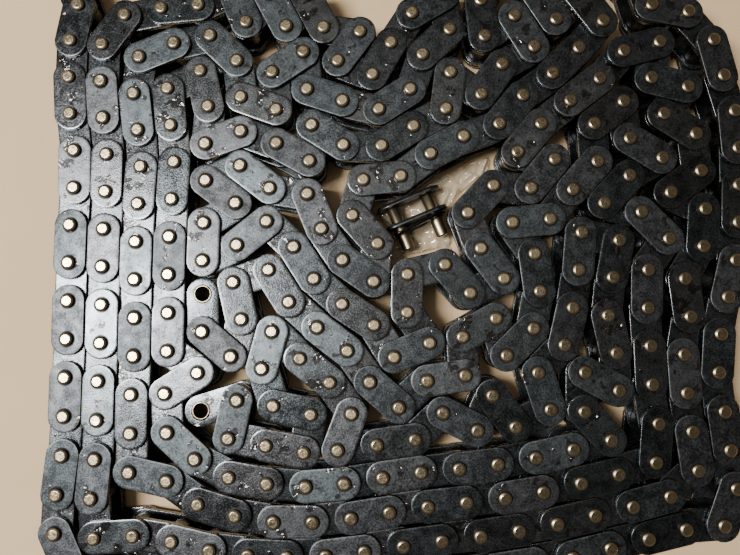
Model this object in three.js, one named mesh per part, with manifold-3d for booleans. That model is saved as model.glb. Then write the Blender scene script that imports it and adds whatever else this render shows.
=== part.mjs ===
// Heap of roller chain: one ten-foot length of 3/8 inch simplex chain laid on
// its side in loops, one layer deep, with its connecting link in the middle gap.
// Millimetres, +Z up. The picture's right is +X, the picture's top is +Y, and
// the origin lies under the middle of the heap, on the floor it rests on.

import * as THREE from "three";
import { mergeVertices } from "three/addons/utils/BufferGeometryUtils.js";
import Module from "manifold-3d";

// Driving dimensions of the chain (3/8 inch pitch, 5.72 mm between inner plates).
const PITCH = 9.525;
const INNER_PLATE_HEIGHT = 8.0;
const OUTER_PLATE_HEIGHT = 8.1;
const LAST_OUTER_PLATE_HEIGHT = 7.8;
const OUTER_PLATE_THICK = 1.0;
const OVER_INNER_PLATES = 8.4;
const SIDE_PLAY = 0.2;
const PIN_DIAMETER = 3.28;
const PIN_LENGTH = 12.9;
const STRAND_GAP = 0.3;
const INNER_PLATE_THICK = 1.3;
const ROLLER_DIAMETER = 6.35;
const BUSH_BORE = 3.33;

// Connecting link: a pin plate, a loose cover plate and a spring clip.
const LINK_PLATE_HEIGHT = 7.8;
const COVER_HOLE = 3.9;
const CLIP_THICK = 0.8;
const CLIP_LENGTH = 15.4;
const COVER_REACH = 4.5;
const CLIP_REACH = 6.3;
const LINK_PLACE = [2.75, 14.45];
const LINK_HEADING = 0.393;

// Clear bag that the connecting link came in, flattened over the floor of the
// middle gap: its outline, chosen by hand to stay clear of the strands.
const FILM_THICK = 0.3;
const FILM_OUTLINE = [
  [-5.6, 10.2], [-2, 6.2], [-0.3, 4], [-0.4, -1.4], [8, 0.8], [12, 1.6], [15.2, 0.4],
  [12.4, 9.6], [13, 11.4], [17, 16.2], [21.6, 20.4], [24.6, 21], [25, 26.6], [17.5, 23.6],
  [10, 19.8], [4.6, 15.6], [2, 14], [-4.6, 13.4],
];

// Heights of the layers of a chain lying on its side, worked out from the above.
const PIN_TOP = PIN_LENGTH;
const MID_HEIGHT = PIN_LENGTH / 2;
const INNER_TOP = MID_HEIGHT + OVER_INNER_PLATES / 2;
const OUTER_UNDERSIDE = INNER_TOP + SIDE_PLAY;
const OUTER_TOP = OUTER_UNDERSIDE + OUTER_PLATE_THICK;

// Faceting of the round forms.
const PLATE_END_SIDES = 3;
const PIN_SIDES = 5;
const ROLLER_SIDES = 8;
const BORE_SIDES = 8;
const BEND_FILL_ANGLE = 0.6;

// The picture the run of the chain was read from: its size in pixels, and the
// pinhole view that turns a pixel into a place at the height of the pin ends.
const PICTURE_MIDDLE_X = 370;
const PICTURE_MIDDLE_Y = 277.5;
const VIEW_FOCAL_PX = 620;
const VIEW_HEIGHT = 153.9;
const VIEW_LEAN_SIN = 0.0567;
const VIEW_LEAN_COS = 0.9984;

// Both free ends of the chain are inner links with open bushes.
const FIRST_BUSH_PX = [199.4, 407.3];
const LAST_BUSH_PX = [201.5, 293.5];

// The run of the chain in chain order: each row of four numbers is one outer
// link, its two pins read by eye in pixels. Each stretch is one named node.
// Stretches named beyond_* lie outside the picture and finish the loops plainly.
const RUN = [
  ["end_loop_1", [[236, 399.6, 223.1, 436.5], [262.1, 446, 300.3, 452.9], [311.5, 414.4, 274.6, 403.5], [261.9, 367.5, 273, 330.9]]],
  ["centre_loop_1", [[299.4, 359, 329, 382.8], [351.5, 413.8, 336.5, 450.3], [375.9, 445.6, 413.8, 439.4]]],
  ["centre_loop_2", [[442.8, 413.8, 477.8, 431], [492.8, 395.4, 517.1, 427.5], [551.3, 409.8, 538.5, 372.8]]],
  ["centre_loop_3", [[563.4, 343.8, 573.8, 307.3], [579.8, 270, 581.3, 230], [619.8, 239.8, 613.8, 276.7]]],
  ["centre_loop_4", [[609.8, 314.8, 618, 352.5], [619.4, 391.6, 585, 372.3], [586, 411.5, 613.8, 441]]],
  ["row_1_right", [[575.6, 450.4, 537.5, 460], [499, 465.9, 460, 470], [421.3, 474, 382.8, 479]]],
  ["row_1_left", [[344, 486, 304.8, 489.4], [266.3, 485, 228.1, 477.9], [193.1, 460, 163.8, 435.4]]],
  ["column_4_lower", [[164.8, 396, 197.3, 373.8], [166.9, 351.3, 166.9, 312.8], [167.5, 274.7, 168, 236.9]]],
  ["column_4_upper", [[169.8, 198.8, 172.3, 161.5], [169.4, 123.8, 167.5, 87], [199.4, 69.4, 207.5, 105.6]]],
  ["top_loop_1", [[204.6, 142.7, 240.6, 130.8], [276.5, 143, 308.4, 162.7], [313, 125, 345.6, 143.5], [383, 146.5, 413, 125]]],
  ["top_loop_2", [[447, 108, 453, 72], [482.5, 94.4, 502.5, 63.8], [535, 45.6, 516, 13], [485, 34.4, 482, -1.5]]],
  ["beyond_top_right_end", [[498, -34, 484, -68], [447, -74, 410, -76], [373, -76, 336, -76]]],
  ["beyond_top_left_end", [[299, -76, 262, -76], [225, -76, 188, -75], [151, -74, 114, -72], [79, -64, 60, -33]]],
  ["column_1_upper", [[78, 4, 67.5, 38], [67, 76, 68, 112.5], [72.5, 150, 71.3, 187.5]]],
  ["column_1_middle", [[69.4, 225.6, 68.5, 262.8], [67.5, 301, 66.9, 339], [64.6, 378, 62.8, 417]]],
  ["column_1_lower", [[59.4, 457, 54, 495.6], [51.9, 535.3, 66, 571], [104, 584, 144, 583]]],
  ["beyond_bottom", [[183, 586, 222, 592], [262, 595, 301, 594], [341, 592, 380, 588], [419, 584, 458, 578]]],
  ["bottom_right_row", [[497, 571, 535, 563], [573, 556, 611, 549], [649.8, 539.8, 687.5, 530.6]]],
  ["right_column_lower", [[726.3, 527.1, 739, 490], [732.1, 451.3, 726, 412], [720.6, 373, 723, 334.4]]],
  ["right_column_upper", [[730, 296.3, 738, 260], [740.5, 221.5, 741, 184], [740, 147, 736, 108.8]]],
  ["right_column_top", [[725, 73.8, 714.4, 38.8], [690, 11, 653, 2.5]]],
  ["beyond_top_right_loop", [[640, -32, 612, -55], [576, -58, 545, -48]]],
  ["top_loop_3", [[536.2, -14.2, 556, 17.3], [581.5, -10.4, 603.8, 19.4], [580.6, 45.6, 554, 70.5], [523, 91, 498.8, 119.4]]],
  ["inner_loop_1", [[462.5, 131, 427.5, 146.3], [397.8, 172.6, 360, 175.6], [351.3, 213, 374.1, 243]]],
  ["inner_loop_2", [[373, 281, 341.3, 260.4], [319.4, 228.8, 307.5, 193.5], [270.6, 184.8, 240, 164], [204.8, 177.5, 234, 201]]],
  ["inner_loop_3", [[202.5, 222.5, 201.3, 260.4], [237.3, 246.5, 265.6, 221.3], [292.5, 247.5, 314, 278.4], [342.5, 302.5, 372.7, 326]]],
  ["inner_loop_4", [[393, 358, 429, 344.8], [408.8, 311.6, 403, 274.1], [440.6, 268.9, 469.8, 293.8]]],
  ["inner_loop_5", [[504.4, 278.5, 482.5, 247.5], [469.4, 212.8, 494.4, 185], [532.5, 186, 554.6, 156], [516.9, 152.5, 538, 122]]],
  ["right_loop_1", [[570, 101.3, 600, 78], [624.4, 51.3, 660, 40.6], [652.5, 76.3, 689.4, 85]]],
  ["right_loop_2", [[665, 112.5, 697.5, 132.5], [702.5, 170, 671.5, 191.5], [707.3, 207.8, 705, 245.6]]],
  ["right_loop_3", [[685.8, 278, 691.9, 316.3], [685.3, 354, 688.4, 393.4], [694.4, 432.5, 701.9, 471.9]]],
  ["row_3_right", [[673.1, 497.8, 635.3, 507.5], [596.9, 517.1, 559.2, 527], [520, 533.1, 480.9, 537.8]]],
  ["row_3_middle", [[441.5, 541.3, 402.3, 546], [364, 551.5, 325, 556], [285.5, 557, 246, 557]]],
  ["row_3_left", [[206.9, 553, 169.4, 543.8], [130.6, 537.5, 92.5, 539.4], [89, 499.6, 92.8, 460.3]]],
  ["column_2_lower", [[96.3, 420.5, 98.1, 381.9], [100, 343.5, 100.6, 304.8], [101, 266.5, 102.5, 228.8]]],
  ["column_2_upper", [[104.8, 190.9, 106, 153.5], [101.5, 116, 99.4, 79.4], [100.6, 42.5, 124, 13]]],
  ["top_left_loop_1", [[160.5, 6, 197.5, 2.5], [232, -13, 245, 20.6], [269, -7, 286.9, 25.6]]],
  ["top_left_loop_2", [[306.8, -6, 325.6, 26.3], [362.5, 32.5, 338, 61], [373, 75.3, 393, 43.8]]],
  ["top_left_loop_3", [[413, 13, 445, -6.4], [452, 30, 423.8, 54.4], [408, 88.8, 378, 111], [342.5, 102, 307.5, 90]]],
  ["top_left_loop_4", [[305, 52.5, 273, 71], [275.6, 108.8, 240, 97], [235.6, 60, 209.4, 33.8], [172.5, 41, 137.5, 55]]],
  ["column_3_upper", [[132.5, 92, 137, 128.8], [139.4, 166.5, 137.1, 203.5], [135.6, 241.5, 134, 278.5]]],
  ["column_3_lower", [[133.5, 317.8, 133.5, 356.3], [130.6, 395, 129, 434], [127.3, 474, 165, 482]]],
  ["row_2_left", [[196.3, 505.6, 233, 517.1], [271.9, 523.1, 311.3, 524.6], [350.6, 520.6, 388.5, 514.4]]],
  ["row_2_right", [[428.1, 509, 466.9, 504], [506, 499.6, 545, 494.1], [582.5, 484, 621, 475]]],
  ["right_loop_4", [[658.5, 463.8, 659.8, 424.4], [653, 384.8, 651.3, 345.9], [648.8, 307.3, 648.8, 269]]],
  ["right_loop_5", [[671, 237.8, 642.5, 211.5], [604.4, 201.9, 631, 175.3], [663, 156, 630.6, 136.7], [625.6, 100, 595.6, 122.5]]],
  ["inner_loop_6", [[600.6, 159.8, 574, 186], [551.3, 216.5, 513, 221], [533.8, 253, 540, 290.6]]],
  ["inner_loop_7", [[533, 328, 507.3, 355.6], [495.6, 318.5, 461.5, 335.9], [465.4, 374.8, 428, 381.6]]],
  ["end_loop_2", [[398.8, 407.9, 369.4, 382], [347.3, 351.3, 317.5, 327.8], [289.4, 301.3, 268, 270.3]]],
  ["end_loop_3", [[232.3, 282.5, 242.5, 319], [230, 355.6, 200.3, 331.5]]],
];

// Settling of the read places into a run that a real chain can take.
const SETTLE_ROUNDS = 400;
const SETTLE_PULL = 0.08;
const NEAR_REACH = PITCH + INNER_PLATE_HEIGHT + 3;
const CLEAR = INNER_PLATE_HEIGHT + STRAND_GAP;

// Run of the chain

// Place on the plane of the pin ends that a pixel of the picture shows.
function placeOfPixel(px, py) {
  const right = px - PICTURE_MIDDLE_X;
  const up = PICTURE_MIDDLE_Y - py;
  const reach = VIEW_HEIGHT / (VIEW_LEAN_COS * VIEW_FOCAL_PX - VIEW_LEAN_SIN * up);
  return [right * reach, (VIEW_LEAN_COS * up + VIEW_LEAN_SIN * VIEW_FOCAL_PX) * reach];
}

function readPins() {
  const pins = [placeOfPixel(...FIRST_BUSH_PX)];
  for (const [, links] of RUN) {
    for (const [ax, ay, bx, by] of links) {
      pins.push(placeOfPixel(ax, ay), placeOfPixel(bx, by));
    }
  }
  pins.push(placeOfPixel(...LAST_BUSH_PX));
  return pins;
}

// Keeps one pin at least CLEAR from the middle line of a link.
function pushApart(pin, start, end) {
  const lx = end[0] - start[0];
  const ly = end[1] - start[1];
  let along = ((pin[0] - start[0]) * lx + (pin[1] - start[1]) * ly) / (lx * lx + ly * ly);
  along = Math.max(0, Math.min(1, along));
  const dx = pin[0] - start[0] - along * lx;
  const dy = pin[1] - start[1] - along * ly;
  const distance = Math.sqrt(dx * dx + dy * dy);
  if (distance >= CLEAR || distance === 0) return;
  const shift = (CLEAR - distance) / distance / 2;
  pin[0] += dx * shift;
  pin[1] += dy * shift;
  start[0] -= dx * shift * (1 - along);
  start[1] -= dy * shift * (1 - along);
  end[0] -= dx * shift * along;
  end[1] -= dy * shift * along;
}

function holdPitch(start, end) {
  const dx = end[0] - start[0];
  const dy = end[1] - start[1];
  const length = Math.sqrt(dx * dx + dy * dy);
  const shift = (length - PITCH) / length / 2;
  start[0] += dx * shift;
  start[1] += dy * shift;
  end[0] -= dx * shift;
  end[1] -= dy * shift;
}

function nearPairs(pins) {
  const pairs = [];
  for (let i = 0; i < pins.length - 1; i++) {
    for (let j = i + 2; j < pins.length - 1; j++) {
      const dx = (pins[i][0] + pins[i + 1][0] - pins[j][0] - pins[j + 1][0]) / 2;
      const dy = (pins[i][1] + pins[i + 1][1] - pins[j][1] - pins[j + 1][1]) / 2;
      if (dx * dx + dy * dy < NEAR_REACH * NEAR_REACH) pairs.push([i, j]);
    }
  }
  return pairs;
}

// Every chord becomes one pitch, and links that don't share a pin stay clear.
function settle(read) {
  const pins = read.map(([x, y]) => [x, y]);
  const pairs = nearPairs(pins);
  for (let round = 0; round < SETTLE_ROUNDS; round++) {
    const pull = SETTLE_PULL * Math.max(0, 1 - 1.5 * round / SETTLE_ROUNDS);
    for (let i = 0; i < pins.length; i++) {
      pins[i][0] += (read[i][0] - pins[i][0]) * pull;
      pins[i][1] += (read[i][1] - pins[i][1]) * pull;
    }
    for (const [i, j] of pairs) {
      pushApart(pins[i], pins[j], pins[j + 1]);
      pushApart(pins[i + 1], pins[j], pins[j + 1]);
      pushApart(pins[j], pins[i], pins[i + 1]);
      pushApart(pins[j + 1], pins[i], pins[i + 1]);
    }
    for (let i = 0; i < pins.length - 1; i++) holdPitch(pins[i], pins[i + 1]);
  }
  return pins;
}

// The middle of the heap's own box is put over the origin.
function centred(pins) {
  const xs = pins.map((pin) => pin[0]);
  const ys = pins.map((pin) => pin[1]);
  const midX = (Math.min(...xs) + Math.max(...xs)) / 2;
  const midY = (Math.min(...ys) + Math.max(...ys)) / 2;
  return pins.map(([x, y]) => [x - midX, y - midY]);
}

const PINS = centred(settle(readPins()));

// Solids. Links are counted from the first bush: even ones inner, odd ones outer.

const wasm = await Module();
wasm.setup();

// A closed three.js geometry as a solid that can be joined and cut.
function solidOf(geometry) {
  const bare = geometry.index ? geometry.toNonIndexed() : geometry.clone();
  bare.deleteAttribute("normal");
  bare.deleteAttribute("uv");
  const merged = mergeVertices(bare, 1e-4);
  return new wasm.Manifold(new wasm.Mesh({
    numProp: 3,
    vertProperties: new Float32Array(merged.attributes.position.array),
    triVerts: new Uint32Array(merged.index.array),
  }));
}

function geometryOf(solid) {
  const mesh = solid.getMesh();
  const geometry = new THREE.BufferGeometry();
  geometry.setAttribute("position", new THREE.BufferAttribute(mesh.vertProperties, 3));
  geometry.setIndex(new THREE.BufferAttribute(mesh.triVerts, 1));
  geometry.computeVertexNormals();
  return geometry;
}

function joined(solids) {
  return solids.reduce((whole, solid) => whole.add(solid));
}

// Upright prism on a plan outline, between two heights.
function prism(outline, low, high) {
  const shape = new THREE.Shape(outline.map(([x, y]) => new THREE.Vector2(x, y)));
  const geometry = new THREE.ExtrudeGeometry(shape, { depth: high - low, bevelEnabled: false });
  return solidOf(geometry.translate(0, 0, low));
}

function direction(from, to) {
  const dx = to[0] - from[0];
  const dy = to[1] - from[1];
  const length = Math.sqrt(dx * dx + dy * dy);
  return [dx / length, dy / length];
}

function offset(point, normal, distance) {
  return [point[0] + normal[0] * distance, point[1] + normal[1] * distance];
}

// Straight-sided plate with round ends, as a plan outline about two pins.
function plateOutline(from, to, height) {
  const heading = Math.atan2(to[1] - from[1], to[0] - from[0]);
  const outline = [];
  for (const [pin, start] of [[to, heading - Math.PI / 2], [from, heading + Math.PI / 2]]) {
    for (let k = 0; k <= PLATE_END_SIDES; k++) {
      const angle = start + Math.PI * k / PLATE_END_SIDES;
      outline.push([pin[0] + Math.cos(angle) * height / 2, pin[1] + Math.sin(angle) * height / 2]);
    }
  }
  return outline;
}

// Upright round solid about a place in plan, faceted with its corners on size.
function roundSolid(centre, diameter, sides, low, high, turn) {
  const outline = [];
  for (let k = 0; k < sides; k++) {
    const angle = turn + 2 * Math.PI * k / sides;
    outline.push([centre[0] + Math.cos(angle) * diameter / 2, centre[1] + Math.sin(angle) * diameter / 2]);
  }
  return prism(outline, low, high);
}

// Bend of the run at a pin: its headings before and after, and how far it turns.
function bendAt(index) {
  const before = direction(PINS[index - 1], PINS[index]);
  const after = direction(PINS[index], PINS[index + 1]);
  const cosine = before[0] * after[0] + before[1] * after[1];
  const turn = before[0] * after[1] - before[1] * after[0];
  return { before, after, turn, tight: cosine < Math.cos(BEND_FILL_ANGLE) };
}

// Two corners of the strand beside one pin of a link, left one first: shared
// with the next link where the bend is gentle, square to the link elsewhere.
function strandCorners(index, link, first, last, half) {
  const pin = PINS[index];
  const along = direction(PINS[link], PINS[link + 1]);
  const inside = index > first && index < last;
  const bend = inside ? bendAt(index) : null;
  if (!bend || bend.tight) {
    const square = [-along[1], along[0]];
    return [offset(pin, square, half), offset(pin, square, -half)];
  }
  const sum = [bend.before[0] + bend.after[0], bend.before[1] + bend.after[1]];
  const size = Math.sqrt(sum[0] * sum[0] + sum[1] * sum[1]);
  const mitre = [-sum[1] / size, sum[0] / size];
  return [offset(pin, mitre, 2 * half / size), offset(pin, mitre, -2 * half / size)];
}

// Closes the open outer side of a tight bend with two flat facets. Its fourth
// corner lies inside both links, on the inner side of the pin.
function bendFill(index, half, low, high) {
  const { before, after, turn, tight } = bendAt(index);
  if (!tight) return [];
  const pin = PINS[index];
  const side = turn > 0 ? 1 : -1;
  const leave = offset(pin, [-before[1], before[0]], -half * side);
  const meet = offset(pin, [-after[1], after[0]], -half * side);
  const out = direction(pin, [(leave[0] + meet[0]) / 2, (leave[1] + meet[1]) / 2]);
  const crest = offset(pin, out, half);
  const root = offset(pin, out, -PIN_DIAMETER / 2);
  return [prism(side > 0 ? [root, leave, crest, meet] : [root, meet, crest, leave], low, high)];
}

// Round end of the strand beyond the pin it stops at, on the two corners of the
// strand there: from the first corner around the end to the second one.
function roundEnd(pin, firstCorner, secondCorner, low, high) {
  const start = Math.atan2(firstCorner[1] - pin[1], firstCorner[0] - pin[0]);
  const half = INNER_PLATE_HEIGHT / 2;
  const outline = [firstCorner];
  for (let k = 1; k < PLATE_END_SIDES; k++) {
    const angle = start + Math.PI * k / PLATE_END_SIDES;
    outline.push([pin[0] + Math.cos(angle) * half, pin[1] + Math.sin(angle) * half]);
  }
  outline.push(secondCorner);
  return prism(outline, low, high);
}

// Body of the links between two pins: inner plates, rollers and bushes as one.
function strandCore(first, last, low, high) {
  const half = INNER_PLATE_HEIGHT / 2;
  const pieces = [];
  for (let link = first; link < last; link++) {
    const [a, b] = strandCorners(link, link, first, last, half);
    const [c, d] = strandCorners(link + 1, link, first, last, half);
    pieces.push(prism([b, d, c, a], low, high));
    if (link === first) pieces.push(roundEnd(PINS[first], a, b, low, high));
    if (link === last - 1) pieces.push(roundEnd(PINS[last], d, c, low, high));
    if (link > first) pieces.push(...bendFill(link, half, low, high));
  }
  return joined(pieces);
}

// Upper half of one outer link: its plate and the ends of its two pins. Where
// it reaches over the stretch before, the side play is left under the plate.
// Beside a free end it is a little narrower, so it never overhangs that link's face.
function upperOuter(link, reachesOver) {
  const besideFreeEnd = link === 1 || link === PINS.length - 3;
  const height = besideFreeEnd ? LAST_OUTER_PLATE_HEIGHT : OUTER_PLATE_HEIGHT;
  const plate = plateOutline(PINS[link], PINS[link + 1], height);
  const turn = Math.atan2(PINS[link + 1][1] - PINS[link][1], PINS[link + 1][0] - PINS[link][0]);
  return joined([
    prism(plate, reachesOver ? OUTER_UNDERSIDE : INNER_TOP, OUTER_TOP),
    roundSolid(PINS[link], PIN_DIAMETER, PIN_SIDES, OUTER_TOP, PIN_TOP, turn),
    roundSolid(PINS[link + 1], PIN_DIAMETER, PIN_SIDES, reachesOver ? INNER_TOP : OUTER_TOP, PIN_TOP, turn),
  ]);
}

// Inner link at a free end: two plates and the roller on its open bush, bored
// right through. The other end of its plates runs into the strand.
function freeEndLink(freePin, heldPin) {
  const low = INNER_TOP - OVER_INNER_PLATES;
  const plate = plateOutline(PINS[freePin], PINS[heldPin], INNER_PLATE_HEIGHT - 0.1);
  return joined([
    prism(plate, low, low + INNER_PLATE_THICK),
    prism(plate, INNER_TOP - INNER_PLATE_THICK, INNER_TOP - 0.05),
    roundSolid(PINS[freePin], ROLLER_DIAMETER, ROLLER_SIDES, low + 0.5, INNER_TOP - 0.5, 0),
  ]).subtract(roundSolid(PINS[freePin], BUSH_BORE, BORE_SIDES, -1, PIN_TOP, 0));
}

// One stretch: outer and inner links in turn, ending with an inner link. Only
// the first one has an inner link before them, and only the last ends free.
function stretchSolid(firstOuter, count) {
  const lastPin = firstOuter + 2 * count;
  const startsChain = firstOuter === 1;
  const endsChain = lastPin === PINS.length - 1;
  const coreFrom = startsChain ? firstOuter : firstOuter + 1;
  const coreTo = endsChain ? lastPin - 1 : lastPin;
  const pieces = [strandCore(coreFrom, coreTo, 0, INNER_TOP)];
  for (let k = 0; k < count; k++) {
    pieces.push(upperOuter(firstOuter + 2 * k, k === 0 && !startsChain));
  }
  if (startsChain) pieces.push(freeEndLink(0, 1));
  if (endsChain) pieces.push(freeEndLink(lastPin, lastPin - 1));
  return joined(pieces);
}

// Connecting link, standing on the long edges of its plates

const LINK_FROM = [-PITCH / 2, 0];
const LINK_TO = [PITCH / 2, 0];
const LINK_AXIS_HEIGHT = FILM_THICK + STRAND_GAP + LINK_PLATE_HEIGHT / 2;

function pinPlateSolid() {
  const plate = plateOutline(LINK_FROM, LINK_TO, LINK_PLATE_HEIGHT);
  return joined([
    prism(plate, 0, OUTER_PLATE_THICK),
    roundSolid(LINK_FROM, PIN_DIAMETER, BORE_SIDES, OUTER_PLATE_THICK, PIN_LENGTH, 0),
    roundSolid(LINK_TO, PIN_DIAMETER, BORE_SIDES, OUTER_PLATE_THICK, PIN_LENGTH, 0),
  ]);
}

function coverPlateSolid() {
  const plate = plateOutline(LINK_FROM, LINK_TO, LINK_PLATE_HEIGHT);
  const low = OUTER_PLATE_THICK + COVER_REACH;
  return prism(plate, low, low + OUTER_PLATE_THICK)
    .subtract(roundSolid(LINK_FROM, COVER_HOLE, BORE_SIDES, low - 1, low + 2, 0))
    .subtract(roundSolid(LINK_TO, COVER_HOLE, BORE_SIDES, low - 1, low + 2, 0));
}

function springClipSolid() {
  const half = CLIP_LENGTH / 2 - LINK_PLATE_HEIGHT / 2;
  const blank = plateOutline([-half, 0], [half, 0], LINK_PLATE_HEIGHT);
  const slotEnd = PITCH / 2 + COVER_HOLE / 2;
  const slot = [
    [-CLIP_LENGTH, -COVER_HOLE / 2], [slotEnd, -COVER_HOLE / 2],
    [slotEnd, COVER_HOLE / 2], [-CLIP_LENGTH, COVER_HOLE / 2],
  ];
  const low = OUTER_PLATE_THICK + CLIP_REACH;
  return prism(blank, low, low + CLIP_THICK).subtract(prism(slot, low - 1, low + 2));
}

// Heap

const BLUED_STEEL = new THREE.MeshStandardMaterial({ color: 0x3a3f44, roughness: 0.42, metalness: 0.75 });
const CLEAR_FILM = new THREE.MeshStandardMaterial({ color: 0xd8c9a8, roughness: 0.15, metalness: 0, transparent: true, opacity: 0.35 });
const BRIGHT_STEEL = new THREE.MeshStandardMaterial({ color: 0xb9b2a0, roughness: 0.3, metalness: 0.9 });

const heap = new THREE.Group();
heap.name = "roller_chain_heap";

function addPiece(group, name, solid, material) {
  const mesh = new THREE.Mesh(geometryOf(solid), material);
  mesh.name = name;
  group.add(mesh);
}

let firstOuter = 1;
for (const [name, links] of RUN) {
  addPiece(heap, name, stretchSolid(firstOuter, links.length), BLUED_STEEL);
  firstOuter += 2 * links.length;
}

// The link's plates stand upright: their own up becomes the heading of its pins.
const connectingLink = new THREE.Group();
connectingLink.position.set(LINK_PLACE[0], LINK_PLACE[1], LINK_AXIS_HEIGHT);
connectingLink.rotation.set(Math.PI / 2, 0, LINK_HEADING, "ZXY");
addPiece(connectingLink, "connecting_link_pin_plate", pinPlateSolid(), BRIGHT_STEEL);
addPiece(connectingLink, "connecting_link_cover_plate", coverPlateSolid(), BLUED_STEEL);
addPiece(connectingLink, "connecting_link_spring_clip", springClipSolid(), BLUED_STEEL);
heap.add(connectingLink);
addPiece(heap, "connecting_link_bag", prism(FILM_OUTLINE, 0, FILM_THICK), CLEAR_FILM);

export default heap;
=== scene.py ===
"""Looks of a heap of roller chain: one length of small simplex chain laid on its
side in loops, with its connecting link in a clear bag in the middle gap.

Named sizes are in millimetres unless they are multiplied by MM or belong to the
stage. The scene is in metres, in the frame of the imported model: the picture's right
is +X, its top is +Y, and the floor is at zero height.
"""

import math
import random
from functools import partial

import bmesh
import bpy
import numpy
from mathutils import Matrix, Vector


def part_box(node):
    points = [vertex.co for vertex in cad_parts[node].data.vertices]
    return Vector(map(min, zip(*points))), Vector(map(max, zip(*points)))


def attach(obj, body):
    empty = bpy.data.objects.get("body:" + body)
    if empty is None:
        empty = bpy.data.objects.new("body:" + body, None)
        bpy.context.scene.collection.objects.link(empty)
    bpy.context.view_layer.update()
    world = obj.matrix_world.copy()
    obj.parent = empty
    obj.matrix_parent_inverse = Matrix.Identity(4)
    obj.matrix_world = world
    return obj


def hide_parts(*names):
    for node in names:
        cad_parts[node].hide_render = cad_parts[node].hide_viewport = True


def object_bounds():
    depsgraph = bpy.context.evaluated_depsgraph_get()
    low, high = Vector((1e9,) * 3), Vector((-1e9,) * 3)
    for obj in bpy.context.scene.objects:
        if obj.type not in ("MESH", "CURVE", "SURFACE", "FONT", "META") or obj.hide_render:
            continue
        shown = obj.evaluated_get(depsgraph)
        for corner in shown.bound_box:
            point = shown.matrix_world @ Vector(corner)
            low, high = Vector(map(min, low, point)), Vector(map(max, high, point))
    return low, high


bl_info = {
    "name": "Roller chain heap",
    "version": (1, 0, 0),
    "blender": (4, 5, 0),
    "location": "View3D > Sidebar > Chain heap",
    "description": "Models the plates, pins and rollers of a laid-up length of roller chain",
    "category": "Object",
}

MM = 0.001
SEED = 11

# Driving sizes of 3/8 inch simplex chain, in millimetres.
PITCH = 9.525
INNER_PLATE_HEIGHT = 8.0
OUTER_PLATE_HEIGHT = 8.1
LAST_OUTER_PLATE_HEIGHT = 7.8
PLATE_THICK = 1.0
INNER_PLATE_THICK = 1.3
OVER_INNER_PLATES = 8.4
SIDE_PLAY = 0.2
PIN_DIAMETER = 3.28
PIN_LENGTH = 12.9
ROLLER_DIAMETER = 6.35
ROLLER_LENGTH = 5.6
BUSH_DIAMETER = 4.8
BUSH_LENGTH = 8.5
BUSH_BORE = 3.33

# Middles of the layers, above and below the middle of a pin.
MID_HEIGHT = PIN_LENGTH / 2
INNER_MIDDLE = (OVER_INNER_PLATES - INNER_PLATE_THICK) / 2
OUTER_MIDDLE = OVER_INNER_PLATES / 2 + SIDE_PLAY + PLATE_THICK / 2

# Connecting link, standing on the long edges of its plates on the bag.
LINK_PLACE = (2.75, 14.45, 4.5)
LINK_HEADING = 0.393
LINK_PLATE_HEIGHT = 7.8
LINK_PIN_LENGTH = 12.9
COVER_HOLE = 3.9
COVER_REACH = 4.5
CLIP_REACH = 6.3
CLIP_THICK = 0.8
CLIP_LENGTH = 15.4
CLIP_SPRING = math.radians(4.5)
LINK_PLATE_TONE = 0.6
LINK_PIN_TONES = (0.1, 0.5)
COVER_TONE = 0.7
CLIP_TONE = 0.9

# Clear bag, as a given outline over the free floor of the middle gap.
FILM_OUTLINE = [
    (-5.6, 10.2), (-2, 6.2), (-0.3, 4), (-0.4, -1.4), (8, 0.8), (12, 1.6), (15.2, 0.4),
    (12.4, 9.6), (13, 11.4), (17, 16.2), (21.6, 20.4), (24.6, 21), (25, 26.6),
    (17.5, 23.6), (10, 19.8), (4.6, 15.6), (2, 14), (-4.6, 13.4),
]

# Long folds of the film beside the link: two ends each, and their height.
FILM_FOLDS = [
    (16.6, 17.6, 12.2, 9.2, 2.2), (14.4, 17.0, 10.8, 10.2, 1.6), (24.4, 26.0, 22.6, 21.4, 1.8),
    (12.9, 8.4, 14.4, 2.6, 1.2), (4.2, -0.2, 9.4, 1.4, 1.0), (-4.6, 10.6, -0.6, 7.4, 1.4),
    (0.4, 6.0, 6.4, 3.6, 0.9), (9.6, 17.8, 14.2, 20.6, 1.5), (17.4, 19.4, 20.6, 21.6, 1.1),
]
FILM_FOLD_WIDTH = 1.0
FILM_CELLS = 110
FILM_FACET = 3.5
FILM_LIFT = 2.2
FILM_FOOT = 0.1
FILM_THICK = 0.06

# Roundness and small shapes.
PLATE_SIDES = 20
PIN_SIDES = 16
ROLLER_SIDES = 18
BUSH_SIDES = 32
BORE_SIDES = 32
ROLLER_ROUNDING = 0.3 * MM
BUSH_ROUNDING = 0.22 * MM
PLATE_ROUNDING = 0.13 * MM
PLATE_ROLL_WIDTH = 0.45 * MM
PLATE_ROLL_DEPTH = 0.05 * MM
# Steps of the pin's end from its side to its flat: width drawn in, and rise.
PIN_STEPS = [(0.07 * MM, 0.09 * MM), (0.42 * MM, 0.235 * MM), (0.06 * MM, 0.015 * MM)]
PIN_TRIM = 0.13
# Cutters only have to reach right through a piece.
BORE_CUTTER_LENGTH = 40 * MM
SLOT_CUTTER_HEIGHT = 10 * MM
# Heights closer than this are one height.
SAME_HEIGHT = 0.001 * MM

# Tilts of one link against the next that its side play allows.
PLATE_TILT = math.radians(1.0)
PLATE_NOD = math.radians(0.35)
TILT_ARM = 5.5
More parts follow.
